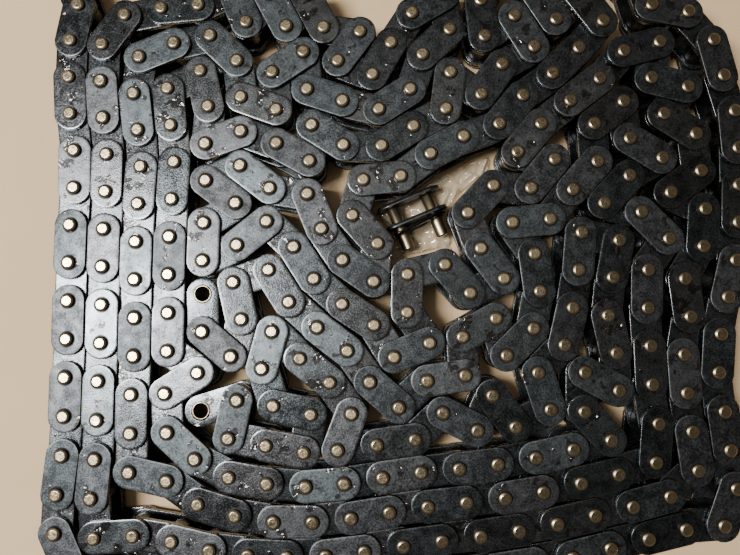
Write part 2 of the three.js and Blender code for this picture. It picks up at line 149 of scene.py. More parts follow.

# Colours of the finishes that aren't among the settings, as sRGB hex values.
# Dark of the oil blotches, also painted as shade round the pins' feet and in the bushes.
OIL_AND_SHADE_COLOUR = 0x1c1c1e
COLD_CAST = 0xebf4fb
VIOLET_CAST = 0xf9f4fa
BARE_COLOUR = 0x787c7f
PIN_GREY = 0xa49b88
HARDENED_SKIN = 0x958a74
ROLLER_COLOUR = 0x4a4744
BUSH_COLOUR = 0x746a56
BOARD_DARK = 0xc4ab88
BOARD_PALE = 0xcdb592
# Share of the rollers' colour that their darkest marks keep.
ROLLER_DARK_SHARE = 0.6

# Each small piece has its own map in millimetres. A copy's tone moves its patterns
# over that map by these lengths, so that every copy shows another part of them.
PLAN_MAP = "plan_mm"
PLATE_SPREAD = (97.0, 61.0, 43.0)
PIN_SPREAD = (53.0, 29.0, 71.0)

# Noise patterns of the plates and pins, with their cells in a millimetre. Scratches
# are drawn out by turning and stretching theirs.
SPECKS = {"Scale": 2.6, "Detail": 2.0, "Roughness": 0.5}
CLOUDS = {"Scale": 0.4, "Detail": 2.0}
SCRATCHES = {"Scale": 0.9, "Detail": 1.0}
SCRATCH_HEADING = 0.6
SCRATCH_STRETCH = (0.5, 8.0, 1.0)
BLOTCHES = {"Scale": 0.3, "Detail": 2.0}
WIPED_PATCHES = {"Scale": 0.22, "Detail": 3.0, "Distortion": 0.6}
RIPPLES = {"Scale": 0.55, "Detail": 1.0, "Distortion": 0.8}
HAMMER_MARKS = {"Scale": 1.7, "Detail": 3.0}

# Noise patterns on Object coordinates, with their cells in a metre.
ROLLER_MARKS = {"Scale": 1 / (1.2 * MM), "Detail": 2.0}
CRUMPLES = {"Scale": 1 / (1.8 * MM), "Detail": 1.0}
CRUMPLE_HEADING = 0.9
CRUMPLE_STRETCH = (0.3, 1.0, 1.0)
BOARD_GRAIN = {"Scale": 60.0, "Detail": 4.0}

# Where noise turns into scratches and wiped patches, and how far it has to rise over
# a level, which falls from the first tone to the last, to be a blotch of oil.
SCRATCH_RANGE = {"From Min": 0.68, "From Max": 0.76, "To Max": 0.35}
WIPED_RANGE = {"From Min": 0.44, "From Max": 0.56}
BLOTCH_LEVELS = {"To Min": 0.72, "To Max": 0.565}
BLOTCH_FADE = {"From Max": 0.04}
BLOTCH_SHARE = 0.85

# Zones of a plate, in millimetres: its edge from the line between the pins, the painted
# shade round a pin's foot from the pin's middle, and wear and pits inwards from the edge.
PLATE_EDGE = 3.95
PIN_RING_SHADE = {"From Min": 1.85, "From Max": 2.15, "To Min": 0.8, "To Max": 0.0}
WORN_EDGE = {"From Min": 0.25, "From Max": 0.08, "To Max": 0.4}
PITTED_ZONE = {"From Min": 0.25, "From Max": 0.55, "To Min": 0.05}

# Shades of the plates: what the specks, the tone and the satin add to the clouds,
# and the sums that give the darkest and the palest bluing.
SPECK_SHARE = 1.4
TONE_SHARE = 0.4
SATIN_SHARE = -0.16
BLUING_RANGE = {"From Min": 0.95, "From Max": 1.85}
# How often the satin and the cast go up and down over the tones, and the satin's rise.
SATIN_TURNS = 11.3
SATIN_FROM = 0.25
SATIN_RANGE = {"From Min": SATIN_FROM, "From Max": 0.65}
CAST_TURNS = 7.3

# Zones of a pin's end and a bush's end, in millimetres: the skin from the pin's
# middle, frayed by the marks, the painted shade beside the bush's ring, and its seam.
PIN_SKIN = {"From Min": 1.4, "From Max": 1.52}
SKIN_FRAY = 0.5
BUSH_END_MIDDLE = (BUSH_DIAMETER + BUSH_BORE) / 4
BUSH_PAINTED_SHADE = {"From Min": 0.06, "From Max": 0.14}
BUSH_SEAM = {"From Min": 0.08, "From Max": 0.16, "To Min": 1.0, "To Max": 0.0}
BUSH_SEAM_TURN = -1.0

# Roughness, over the noise where that has a range, and what dulls the oiled plates.
NOISE_RANGE = {"From Min": 0.3, "From Max": 0.7}
PLATE_ROUGHNESS = {**NOISE_RANGE, "To Min": 0.17, "To Max": 0.26}
PIN_ROUGHNESS = {**NOISE_RANGE, "To Min": 0.18, "To Max": 0.32}
ROLLER_ROUGHNESS = {**NOISE_RANGE, "To Min": 0.21, "To Max": 0.39}
WIPED_ROUGHNESS = 0.06
SATIN_ROUGHNESS = 0.2
PIN_RING_ROUGHNESS = 0.3
SKIN_ROUGHNESS = 0.12
BUSH_ROUGHNESS = 0.3
OIL_ROUGHNESS = 0.08
FILM_ROUGHNESS = 0.04
FILM_COAT_ROUGHNESS = 0.03
BOARD_ROUGHNESS = 0.8

# Relief in the light: pits, ripples of oil, hammer marks and crumples.
PITS = {"Distance": 0.03 * MM}
OIL_SKIN = {"Strength": 1.0, "Distance": 0.6 * MM}
HAMMER_RELIEF = {"Strength": 0.45, "Distance": 0.08 * MM}
CRUMPLE_RELIEF = {"Strength": 1.0, "Distance": 0.3 * MM}

# How much of the film shows where it faces the eye, and where it is seen edge on.
FILM_BLEND = 0.35
FILM_ALPHA = {"To Min": 0.3, "To Max": 0.9}

# Light from the room round the stage: walls up to a height on the unit sphere.
WALL_GLOW = 0xccb596
CEILING_GLOW = 0x6e6861
WALL_TOP = 1.0
ROOM_STRENGTH = 0.38

# Stage, in metres, with the lights' power in watts and their sRGB hex colours, and
# the camera's sensor in millimetres.
WINDOW = {
    "place": (-0.32, 0.0, 0.56), "aim": (-0.05, -0.01, 0), "width": 0.155, "height": 0.26,
    "power": 7.7, "colour": 0xfffaf2,
}
FILL = {
    "place": (-0.08, 0.12, 0.8), "aim": (0, 0, 0), "width": 0.5, "height": 0.5,
    "power": 0.75, "colour": 0xf3e9d8,
}
FLOOR_SIZE = 4.0
SENSOR_WIDTH = 36.0
CLIP_START = 0.005

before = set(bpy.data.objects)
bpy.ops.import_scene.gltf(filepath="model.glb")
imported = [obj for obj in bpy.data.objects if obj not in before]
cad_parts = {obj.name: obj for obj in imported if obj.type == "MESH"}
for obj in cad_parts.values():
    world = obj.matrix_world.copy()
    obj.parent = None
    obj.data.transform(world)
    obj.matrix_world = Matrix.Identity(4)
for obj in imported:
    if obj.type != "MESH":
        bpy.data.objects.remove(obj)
CAD_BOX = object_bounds()


# Run of the chain.

# The picture that the run was read from, in pixels, and the pinhole view that
# turns a pixel into a place at the height of the pin ends, in millimetres.
PICTURE_WIDTH = 740
PICTURE_HEIGHT = 555
VIEW_FOCAL_PX = 620
VIEW_HEIGHT = 153.9
VIEW_LEAN_SIN = 0.0567
VIEW_LEAN_COS = 0.9984

# Both free ends are inner links with open bushes.
FIRST_BUSH_PX = (199.4, 407.3)
LAST_BUSH_PX = (201.5, 293.5)

# Outer links in chain order, two pins each, in pixels, by stretch of chain.
RUN = {
    "end_loop_1": [
        (236, 399.6, 223.1, 436.5), (262.1, 446, 300.3, 452.9), (311.5, 414.4, 274.6, 403.5),
        (261.9, 367.5, 273, 330.9)],
    "centre_loop_1": [
        (299.4, 359, 329, 382.8), (351.5, 413.8, 336.5, 450.3), (375.9, 445.6, 413.8, 439.4)],
    "centre_loop_2": [
        (442.8, 413.8, 477.8, 431), (492.8, 395.4, 517.1, 427.5), (551.3, 409.8, 538.5, 372.8)],
    "centre_loop_3": [
        (563.4, 343.8, 573.8, 307.3), (579.8, 270, 581.3, 230), (619.8, 239.8, 613.8, 276.7)],
    "centre_loop_4": [
        (609.8, 314.8, 618, 352.5), (619.4, 391.6, 585, 372.3), (586, 411.5, 613.8, 441)],
    "row_1_right": [
        (575.6, 450.4, 537.5, 460), (499, 465.9, 460, 470), (421.3, 474, 382.8, 479)],
    "row_1_left": [
        (344, 486, 304.8, 489.4), (266.3, 485, 228.1, 477.9), (193.1, 460, 163.8, 435.4)],
    "column_4_lower": [
        (164.8, 396, 197.3, 373.8), (166.9, 351.3, 166.9, 312.8), (167.5, 274.7, 168, 236.9)],
    "column_4_upper": [
        (169.8, 198.8, 172.3, 161.5), (169.4, 123.8, 167.5, 87), (199.4, 69.4, 207.5, 105.6)],
    "top_loop_1": [
        (204.6, 142.7, 240.6, 130.8), (276.5, 143, 308.4, 162.7), (313, 125, 345.6, 143.5),
        (383, 146.5, 413, 125)],
    "top_loop_2": [
        (447, 108, 453, 72), (482.5, 94.4, 502.5, 63.8), (535, 45.6, 516, 13),
        (485, 34.4, 482, -1.5)],
    "beyond_top_right_end": [
        (498, -34, 484, -68), (447, -74, 410, -76), (373, -76, 336, -76)],
    "beyond_top_left_end": [
        (299, -76, 262, -76), (225, -76, 188, -75), (151, -74, 114, -72), (79, -64, 60, -33)],
    "column_1_upper": [
        (78, 4, 67.5, 38), (67, 76, 68, 112.5), (72.5, 150, 71.3, 187.5)],
    "column_1_middle": [
        (69.4, 225.6, 68.5, 262.8), (67.5, 301, 66.9, 339), (64.6, 378, 62.8, 417)],
    "column_1_lower": [
        (59.4, 457, 54, 495.6), (51.9, 535.3, 66, 571), (104, 584, 144, 583)],
    "beyond_bottom": [
        (183, 586, 222, 592), (262, 595, 301, 594), (341, 592, 380, 588), (419, 584, 458, 578)],
    "bottom_right_row": [
        (497, 571, 535, 563), (573, 556, 611, 549), (649.8, 539.8, 687.5, 530.6)],
    "right_column_lower": [
        (726.3, 527.1, 739, 490), (732.1, 451.3, 726, 412), (720.6, 373, 723, 334.4)],
    "right_column_upper": [
        (730, 296.3, 738, 260), (740.5, 221.5, 741, 184), (740, 147, 736, 108.8)],
    "right_column_top": [
        (725, 73.8, 714.4, 38.8), (690, 11, 653, 2.5)],
    "beyond_top_right_loop": [
        (640, -32, 612, -55), (576, -58, 545, -48)],
    "top_loop_3": [
        (536.2, -14.2, 556, 17.3), (581.5, -10.4, 603.8, 19.4), (580.6, 45.6, 554, 70.5),
        (523, 91, 498.8, 119.4)],
    "inner_loop_1": [
        (462.5, 131, 427.5, 146.3), (397.8, 172.6, 360, 175.6), (351.3, 213, 374.1, 243)],
    "inner_loop_2": [
        (373, 281, 341.3, 260.4), (319.4, 228.8, 307.5, 193.5), (270.6, 184.8, 240, 164),
        (204.8, 177.5, 234, 201)],
    "inner_loop_3": [
        (202.5, 222.5, 201.3, 260.4), (237.3, 246.5, 265.6, 221.3), (292.5, 247.5, 314, 278.4),
        (342.5, 302.5, 372.7, 326)],
    "inner_loop_4": [
        (393, 358, 429, 344.8), (408.8, 311.6, 403, 274.1), (440.6, 268.9, 469.8, 293.8)],
    "inner_loop_5": [
        (504.4, 278.5, 482.5, 247.5), (469.4, 212.8, 494.4, 185), (532.5, 186, 554.6, 156),
        (516.9, 152.5, 538, 122)],
    "right_loop_1": [
        (570, 101.3, 600, 78), (624.4, 51.3, 660, 40.6), (652.5, 76.3, 689.4, 85)],
    "right_loop_2": [
        (665, 112.5, 697.5, 132.5), (702.5, 170, 671.5, 191.5), (707.3, 207.8, 705, 245.6)],
    "right_loop_3": [
        (685.8, 278, 691.9, 316.3), (685.3, 354, 688.4, 393.4), (694.4, 432.5, 701.9, 471.9)],
    "row_3_right": [
        (673.1, 497.8, 635.3, 507.5), (596.9, 517.1, 559.2, 527), (520, 533.1, 480.9, 537.8)],
    "row_3_middle": [
        (441.5, 541.3, 402.3, 546), (364, 551.5, 325, 556), (285.5, 557, 246, 557)],
    "row_3_left": [
        (206.9, 553, 169.4, 543.8), (130.6, 537.5, 92.5, 539.4), (89, 499.6, 92.8, 460.3)],
    "column_2_lower": [
        (96.3, 420.5, 98.1, 381.9), (100, 343.5, 100.6, 304.8), (101, 266.5, 102.5, 228.8)],
    "column_2_upper": [
        (104.8, 190.9, 106, 153.5), (101.5, 116, 99.4, 79.4), (100.6, 42.5, 124, 13)],
    "top_left_loop_1": [
        (160.5, 6, 197.5, 2.5), (232, -13, 245, 20.6), (269, -7, 286.9, 25.6)],
    "top_left_loop_2": [
        (306.8, -6, 325.6, 26.3), (362.5, 32.5, 338, 61), (373, 75.3, 393, 43.8)],
    "top_left_loop_3": [
        (413, 13, 445, -6.4), (452, 30, 423.8, 54.4), (408, 88.8, 378, 111),
        (342.5, 102, 307.5, 90)],
    "top_left_loop_4": [
        (305, 52.5, 273, 71), (275.6, 108.8, 240, 97), (235.6, 60, 209.4, 33.8),
        (172.5, 41, 137.5, 55)],
    "column_3_upper": [
        (132.5, 92, 137, 128.8), (139.4, 166.5, 137.1, 203.5), (135.6, 241.5, 134, 278.5)],
    "column_3_lower": [
        (133.5, 317.8, 133.5, 356.3), (130.6, 395, 129, 434), (127.3, 474, 165, 482)],
    "row_2_left": [
        (196.3, 505.6, 233, 517.1), (271.9, 523.1, 311.3, 524.6), (350.6, 520.6, 388.5, 514.4)],
    "row_2_right": [
        (428.1, 509, 466.9, 504), (506, 499.6, 545, 494.1), (582.5, 484, 621, 475)],
    "right_loop_4": [
        (658.5, 463.8, 659.8, 424.4), (653, 384.8, 651.3, 345.9), (648.8, 307.3, 648.8, 269)],
    "right_loop_5": [
        (671, 237.8, 642.5, 211.5), (604.4, 201.9, 631, 175.3), (663, 156, 630.6, 136.7),
        (625.6, 100, 595.6, 122.5)],
    "inner_loop_6": [
        (600.6, 159.8, 574, 186), (551.3, 216.5, 513, 221), (533.8, 253, 540, 290.6)],
    "inner_loop_7": [
        (533, 328, 507.3, 355.6), (495.6, 318.5, 461.5, 335.9), (465.4, 374.8, 428, 381.6)],
    "end_loop_2": [
        (398.8, 407.9, 369.4, 382), (347.3, 351.3, 317.5, 327.8), (289.4, 301.3, 268, 270.3)],
    "end_loop_3": [
        (232.3, 282.5, 242.5, 319), (230, 355.6, 200.3, 331.5)],
}

# Settling: the places that were read pull on the pins, less and less, and every
# two strands that come near keep a gap, all in millimetres.
SETTLE_ROUNDS = 400
SETTLE_PULL = 0.08
PULL_FADE = 1.5
NEAR_GAP = 3
NEAR_REACH = PITCH + INNER_PLATE_HEIGHT + NEAR_GAP
STRAND_GAP = 0.3
CLEAR = INNER_PLATE_HEIGHT + STRAND_GAP


def place_of_pixel(px, py):
    """Place in millimetres, on the plane of the pin ends, that a pixel shows."""
    right = px - PICTURE_WIDTH / 2
    up = PICTURE_HEIGHT / 2 - py
    reach = VIEW_HEIGHT / (VIEW_LEAN_COS * VIEW_FOCAL_PX - VIEW_LEAN_SIN * up)
    forward = VIEW_LEAN_COS * up + VIEW_LEAN_SIN * VIEW_FOCAL_PX
    return [right * reach, forward * reach]


def read_pins():
    """Pins as read from the picture, in chain order."""
    pins = [place_of_pixel(*FIRST_BUSH_PX)]
    for links in RUN.values():
        for ax, ay, bx, by in links:
            pins.append(place_of_pixel(ax, ay))
            pins.append(place_of_pixel(bx, by))
    pins.append(place_of_pixel(*LAST_BUSH_PX))
    return pins


def push_apart(pin, start, end):
    """Keep one pin at least the clearance from the middle line of a link."""
    lx = end[0] - start[0]
    ly = end[1] - start[1]
    along = (pin[0] - start[0]) * lx + (pin[1] - start[1]) * ly
    along = max(0, min(1, along / (lx * lx + ly * ly)))
    dx = pin[0] - start[0] - along * lx
    dy = pin[1] - start[1] - along * ly
    distance = math.sqrt(dx * dx + dy * dy)
    if distance >= CLEAR or distance == 0:
        return
    shift = (CLEAR - distance) / distance / 2
    pin[0] += dx * shift
    pin[1] += dy * shift
    start[0] -= dx * shift * (1 - along)
    start[1] -= dy * shift * (1 - along)
    end[0] -= dx * shift * along
    end[1] -= dy * shift * along


def hold_pitch(start, end):
    """Bring two neighbouring pins to one pitch apart."""
    dx = end[0] - start[0]
    dy = end[1] - start[1]
    length = math.sqrt(dx * dx + dy * dy)
    shift = (length - PITCH) / length / 2
    start[0] += dx * shift
    start[1] += dy * shift
    end[0] -= dx * shift
    end[1] -= dy * shift


def near_pairs(pins):
    """Pairs of links that could touch and don't share a pin."""
    pairs = []
    middles = [((a[0] + b[0]) / 2, (a[1] + b[1]) / 2) for a, b in zip(pins, pins[1:])]
    for i, (xi, yi) in enumerate(middles):
        for j in range(i + 2, len(middles)):
            dx = xi - middles[j][0]
            dy = yi - middles[j][1]
            if dx * dx + dy * dy < NEAR_REACH * NEAR_REACH:
                pairs.append((i, j))
    return pairs


def settled_pins():
    """Pins settled until every chord is one pitch and strands side by side stay clear,
    and the place of the view's foot, both in metres about the heap's middle."""
    read = read_pins()
    pins = [list(pin) for pin in read]
    pairs = near_pairs(pins)
    for turn in range(SETTLE_ROUNDS):
        pull = SETTLE_PULL * max(0, 1 - PULL_FADE * turn / SETTLE_ROUNDS)
        for pin, anchor in zip(pins, read):
            pin[0] += (anchor[0] - pin[0]) * pull
            pin[1] += (anchor[1] - pin[1]) * pull
        for i, j in pairs:
            for pin, link in ((i, j), (i + 1, j), (j, i), (j + 1, i)):
                push_apart(pins[pin], pins[link], pins[link + 1])
        for start, end in zip(pins, pins[1:]):
            hold_pitch(start, end)
    mid_x, mid_y = ((min(side) + max(side)) / 2 for side in zip(*pins))
    places = [Vector(((x - mid_x) * MM, (y - mid_y) * MM, 0)) for x, y in pins]
    return places, Vector((-mid_x * MM, -mid_y * MM, 0))


PINS, CAMERA_FOOT = settled_pins()


def stretches():
    """Name, first link and last link of each stretch, counted from the first bush."""
    first = 0
    for name, links in RUN.items():
        last = (first or 1) + 2 * len(links) - 1
        yield name, first, last
        first = last + 1


def check_places():
    """Stop if the run computed here isn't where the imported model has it."""
    for name, first, last in stretches():
        low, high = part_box(name)
        for pin in PINS[first + 1:last + 1]:
            if not (low.x < pin.x < high.x and low.y < pin.y < high.y):
                raise RuntimeError(f"{name}: a pin lies outside its solid")


# Small steps that the operators share.

def linear(hex_colour):
    """sRGB hex colour, such as 0x3a3f44, as the linear values that shaders take."""
    levels = []
    for shift in (16, 8, 0):
        level = ((hex_colour >> shift) & 255) / 255
        low = level <= 0.04045
        levels.append(level / 12.92 if low else ((level + 0.055) / 1.055) ** 2.4)
    return (*levels, 1.0)


def add_node(tree, kind, links=None, **settings):
    """Add a shader node. Its sockets take values, other nodes' outputs, or whole
    nodes, which give the first output that they have in use."""
    node = tree.nodes.new("ShaderNode" + kind)
    for key, value in settings.items():
        setattr(node, key, value)
    for socket, value in (links or {}).items():
        if isinstance(value, bpy.types.Node):
            value = next(output for output in value.outputs if output.enabled)
        if isinstance(value, bpy.types.NodeSocket):
            tree.links.new(value, node.inputs[socket])
        else:
            node.inputs[socket].default_value = value
    return node


def new_material(name):
    """Material with an empty node tree, and the function that adds nodes to it."""
    material = bpy.data.materials.new(name)
    material.use_nodes = True
    material.node_tree.nodes.clear()
    return material, partial(add_node, material.node_tree)


def finish_material(material, surface):
    """Close a material with a shader that has these values and patterns."""
    shader = add_node(material.node_tree, "BsdfPrincipled", surface)
    add_node(material.node_tree, "OutputMaterial", {"Surface": shader})
    return material


def select_only(*objects):
    """Select these objects and nothing else; the first one becomes active."""
    bpy.ops.object.select_all(action="DESELECT")
    for obj in objects:
        obj.select_set(True)
    bpy.context.view_layer.objects.active = objects[0]


def pick(parts, chosen):
    """Select in edit mode the verts, edges or faces that chosen says yes to."""
    mesh = bpy.context.object.data
    bpy.ops.mesh.select_mode(type={"verts": "VERT", "edges": "EDGE", "faces": "FACE"}[parts])
    bpy.ops.mesh.select_all(action="DESELECT")
    shape = bmesh.from_edit_mesh(mesh)
    for part in getattr(shape, parts):
        part.select_set(chosen(part))
    bmesh.update_edit_mesh(mesh)


def start_cylinder(name, sides, radius, height, turn=0.0):
    """Upright cylinder about the origin, in edit mode."""
    bpy.ops.object.select_all(action="DESELECT")
    bpy.ops.mesh.primitive_cylinder_add(
        vertices=sides, radius=radius, depth=height, end_fill_type="NGON",
        rotation=(0, 0, turn))
    obj = bpy.context.object
    obj.name = name
    bpy.ops.object.transform_apply(location=True, rotation=True, scale=True)
    bpy.ops.object.mode_set(mode="EDIT")
    return obj


def bevel_rim(height, width, segments):
    """Round off the rim at one height."""
    pick("edges", lambda edge: all(abs(vert.co.z - height) < SAME_HEIGHT for vert in edge.verts))
    bpy.ops.mesh.bevel(offset=width, segments=segments, affect="EDGES", profile=0.5)


def raise_face(height, width, rise):
    """Draw in the flat end at one height by a width and raise it."""
    pick("faces", lambda face: abs(face.calc_center_median().z - height) < SAME_HEIGHT)
    bpy.ops.mesh.inset(thickness=width, depth=rise)


def apply_modifier(obj, kind, **settings):
    """Give a piece a modifier with its settings, and apply it."""
    select_only(obj)
    modifier = obj.modifiers.new(kind.lower(), kind)
    for key, value in settings.items():
        setattr(modifier, key, value)
    bpy.ops.object.modifier_apply(modifier=modifier.name)


def end_master(obj, material):
    """Leave edit mode with shading, material and the piece's own map in millimetres."""
    bpy.ops.object.mode_set(mode="OBJECT")
    bpy.ops.object.shade_smooth()
    # Flat faces stay flat in the light, and the rounding is all in the narrow rims.
    apply_modifier(obj, "WEIGHTED_NORMAL")
    mesh = obj.data
    while mesh.uv_layers:
        mesh.uv_layers.remove(mesh.uv_layers[0])
    plan = mesh.uv_layers.new(name=PLAN_MAP)
    for loop in mesh.loops:
        place = mesh.vertices[loop.vertex_index].co
        plan.data[loop.index].uv = (place.x / MM, place.y / MM)
    mesh.materials.clear()
    mesh.materials.append(material)
    return obj


def copy_of(master, place, tone=0.5):
    """A copy of a master with its own mesh, its place in the mesh, and its tone."""
    mesh = master.data.copy()
    mesh.transform(place)
    shade = mesh.attributes.new("tone", "FLOAT", "FACE")
    shade.data.foreach_set("value", [tone] * len(mesh.polygons))
    obj = bpy.data.objects.new(master.name + "_copy", mesh)
    bpy.context.collection.objects.link(obj)
    return obj


def keep_in_box(mesh):
    """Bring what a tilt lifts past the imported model's box, by a hair, back to it."""
    places = numpy.empty(3 * len(mesh.vertices), dtype=numpy.float32)
    mesh.vertices.foreach_get("co", places)
    low, high = CAD_BOX
    kept = numpy.clip(places.reshape(-1, 3), low, high)
    mesh.vertices.foreach_set("co", kept.ravel())
    mesh.update()


def join_as(name, objects, slot, *nodes):
    """Join copies into one named piece that rides the heap and stands for CAD nodes."""
    select_only(*objects)
    if len(objects) > 1:
        bpy.ops.object.join()
    piece = bpy.context.object
    piece.name = name
    piece.data.name = name
    keep_in_box(piece.data)
    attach(piece, "root")
    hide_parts(*nodes)


def discard(*objects):
    """Remove masters and cutters once they have done their work."""
    for obj in objects:
        bpy.data.objects.remove(obj, do_unlink=True)


def cut_by(obj, cutter):
    """Cut the cutter's shape out of a piece, and remove the cutter."""
    apply_modifier(obj, "BOOLEAN", operation="DIFFERENCE", solver="EXACT", object=cutter)
    discard(cutter)


def cut_round(obj, centre, diameter):
    """Bore an upright round hole right through a piece."""
    bpy.ops.object.select_all(action="DESELECT")
    bpy.ops.mesh.primitive_cylinder_add(
        vertices=BORE_SIDES, radius=diameter / 2, depth=BORE_CUTTER_LENGTH, location=centre)
    cut_by(obj, bpy.context.object)


# Finishes.

def plate_pattern(add):
    """Distances on a plate from its own map: to the nearer pin and in from its edge."""
    plan = add("UVMap", uv_map=PLAN_MAP)
    split = add("SeparateXYZ", {0: plan})
    across = add("Math", {0: split.outputs["X"]}, operation="ABSOLUTE")
    beyond = add("Math", {0: across, 1: PITCH / 2}, operation="SUBTRACT")
    past = add("Math", {0: beyond, 1: 0.0}, operation="MAXIMUM")
    from_pin = add("CombineXYZ", {"X": beyond, "Y": split.outputs["Y"]})
    from_line = add("CombineXYZ", {"X": past, "Y": split.outputs["Y"]})
    pin_reach = add("VectorMath", {0: from_pin}, operation="LENGTH")
    line_reach = add("VectorMath", {0: from_line}, operation="LENGTH")
    inward = add("Math", {0: PLATE_EDGE, 1: line_reach}, operation="SUBTRACT")
    return pin_reach, inward


def own_pattern(add, tone, spread):
    """The piece's own map in millimetres, moved so that each copy shows its own part."""
    plan = add("UVMap", uv_map=PLAN_MAP)
    shift = add("CombineXYZ", {"X": tone, "Y": tone, "Z": tone})
    shift = add("VectorMath", {0: shift, 1: spread}, operation="MULTIPLY")
    return add("VectorMath", {0: plan, 1: shift}, operation="ADD")


def oiled_blued_steel(props):
    """Plates: stamped steel, tumbled and black oxide blued, then oiled.

    The bluing gives a dark grey with a faint cold or violet cast. Tumbling leaves it
    finely mottled with pits and small bright scratches, and wears the edges paler. A ring
    of painted shade darkens the plate round the foot of each pin, and oil lies in small
    rippled blotches on some plates.
    """
    material, add = new_material("oiled_blued_steel")
    pin_reach, inward = plate_pattern(add)
    tone = add("Attribute", attribute_name="tone").outputs["Fac"]
    own = own_pattern(add, tone, PLATE_SPREAD)

    # Pits and specks about 0.4 mm wide, and clouds of the bluing about 2.5 mm wide.
    specks = add("TexNoise", {"Vector": own, **SPECKS})
    clouds = add("TexNoise", {"Vector": own, **CLOUDS})
    # Scratches about 0.12 mm wide and 2 mm long, drawn from stretched noise.
    turned = add("VectorRotate", {"Vector": own, "Angle": SCRATCH_HEADING}, rotation_type="Z_AXIS")
    slim = add("VectorMath", {0: turned, 1: SCRATCH_STRETCH}, operation="MULTIPLY")
    scratch = add("TexNoise", {"Vector": slim, **SCRATCHES})
    scratches = add("MapRange", {"Value": scratch, **SCRATCH_RANGE})

    # Painted shade round the foot of each pin, fading over 0.3 mm, and oil in blotches
    # about 3 mm wide.
    pin_ring_shade = add("MapRange", {"Value": pin_reach, **PIN_RING_SHADE})
    blotch_field = add("TexNoise", {"Vector": own, **BLOTCHES})
    level = add("MapRange", {"Value": tone, **BLOTCH_LEVELS})
    over = add("Math", {0: blotch_field, 1: level}, operation="SUBTRACT")
    blotch = add("MapRange", {"Value": over, **BLOTCH_FADE})

    # Worn edge: strongest at the very edge, broken up by the specks.
    edge = add("MapRange", {"Value": inward, **WORN_EDGE})
    worn = add("Math", {0: edge, 1: specks}, operation="MULTIPLY")
    bare = add("Math", {0: worn, 1: scratches}, operation="MAXIMUM")

    # Some plates have kept less oil than others, and are darker and more satin.
    satin = add("Math", {0: tone, 1: SATIN_TURNS}, operation="MULTIPLY")
    satin = add("Math", {0: satin}, operation="FRACT")
    satin = add("MapRange", {"Value": satin, **SATIN_RANGE})
    mottle = clouds
    for part, share in ((specks, SPECK_SHARE), (tone, TONE_SHARE), (satin, SATIN_SHARE)):
        mottle = add("Math", {0: part, 1: share, 2: mottle}, operation="MULTIPLY_ADD")
    shade = add("MapRange", {"Value": mottle, **BLUING_RANGE})
    base = add(
        "Mix", {0: shade, 6: linear(props.blued_dark), 7: linear(props.blued_pale)},
        data_type="RGBA")
    # Some plates have a cold cast from the bluing and others a violet one.
    cast = add("Math", {0: tone, 1: CAST_TURNS}, operation="MULTIPLY")
    cast = add("Math", {0: cast}, operation="FRACT")
    cast = add("Mix", {0: cast, 6: linear(COLD_CAST), 7: linear(VIOLET_CAST)}, data_type="RGBA")
    base = add("Mix", {0: 1.0, 6: base, 7: cast}, data_type="RGBA", blend_type="MULTIPLY")
    # Oil in the blotches, and the painted shade in the ring round each pin, darken the bluing.
    oil_and_shade = add(
        "Math", {0: blotch, 1: BLOTCH_SHARE, 2: pin_ring_shade}, operation="MULTIPLY_ADD",
        use_clamp=True)
    base = add("Mix", {0: oil_and_shade, 6: base, 7: linear(OIL_AND_SHADE_COLOUR)}, data_type="RGBA")
    base = add("Mix", {0: bare, 6: base, 7: linear(BARE_COLOUR)}, data_type="RGBA")

    rough = add("MapRange", {"Value": specks, **PLATE_ROUGHNESS})
    # Handling has wiped the oil off in patches about 4 mm wide, which are more satin.
    wiped = add("TexNoise", {"Vector": own, **WIPED_PATCHES})
    dry = add("MapRange", {"Value": wiped, **WIPED_RANGE})
    # Those and the satin plates are duller, and so is the ring of painted shade round the pins.
    dulled = ((dry, WIPED_ROUGHNESS), (satin, SATIN_ROUGHNESS), (pin_ring_shade, PIN_RING_ROUGHNESS))
    for zone, dulling in dulled:
        rough = add("Math", {0: zone, 1: dulling, 2: rough}, operation="MULTIPLY_ADD")
    # Tumbling has smoothed the edge itself, and its highlight stays whole.
    pitted = add("MapRange", {"Value": inward, **PITTED_ZONE})
    pits = add("Bump", {"Height": specks, "Strength": pitted, **PITS})
    # The oil's own skin: ripples about 1.5 mm wide that catch the light.
    ripples = add("TexNoise", {"Vector": own, **RIPPLES})
    skin = add("Bump", {"Height": ripples, **OIL_SKIN})
    return finish_material(material, {
        "Base Color": base, "Metallic": 0.95, "Roughness": rough, "Normal": pits,
        "Coat Weight": blotch, "Coat Roughness": OIL_ROUGHNESS, "Coat Normal": skin})


def peened_pin_steel(props):
    """Pins: drawn steel, case hardened, cut off and peened, left bare.

    The flat end is satin and pale straw; the rounded rim and the side keep a brown,
    oily skin from the hardening.
    """
    material, add = new_material("peened_pin_steel")
    plan = add("UVMap", uv_map=PLAN_MAP)
    tone = add("Attribute", attribute_name="tone").outputs["Fac"]
    own = own_pattern(add, tone, PIN_SPREAD)
    reach = add("VectorMath", {0: plan}, operation="LENGTH")
    # Hammer marks about 0.6 mm wide, which also break up the rim of the skin.
    marks = add("TexNoise", {"Vector": own, **HAMMER_MARKS})
    uneven = add("Math", {0: marks, 1: SKIN_FRAY, 2: reach}, operation="MULTIPLY_ADD")
    skin = add("MapRange", {"Value": uneven, **PIN_SKIN})
    face = add(
        "Mix", {0: marks, 6: linear(props.pin_straw), 7: linear(PIN_GREY)}, data_type="RGBA")
    base = add("Mix", {0: skin, 6: face, 7: linear(HARDENED_SKIN)}, data_type="RGBA")
    rough = add("MapRange", {"Value": marks, **PIN_ROUGHNESS})
    rough = add("Math", {0: skin, 1: SKIN_ROUGHNESS, 2: rough}, operation="MULTIPLY_ADD")
    bump = add("Bump", {"Height": marks, **HAMMER_RELIEF})
    return finish_material(material, {
        "Base Color": base, "Metallic": 1.0, "Roughness": rough, "Normal": bump})


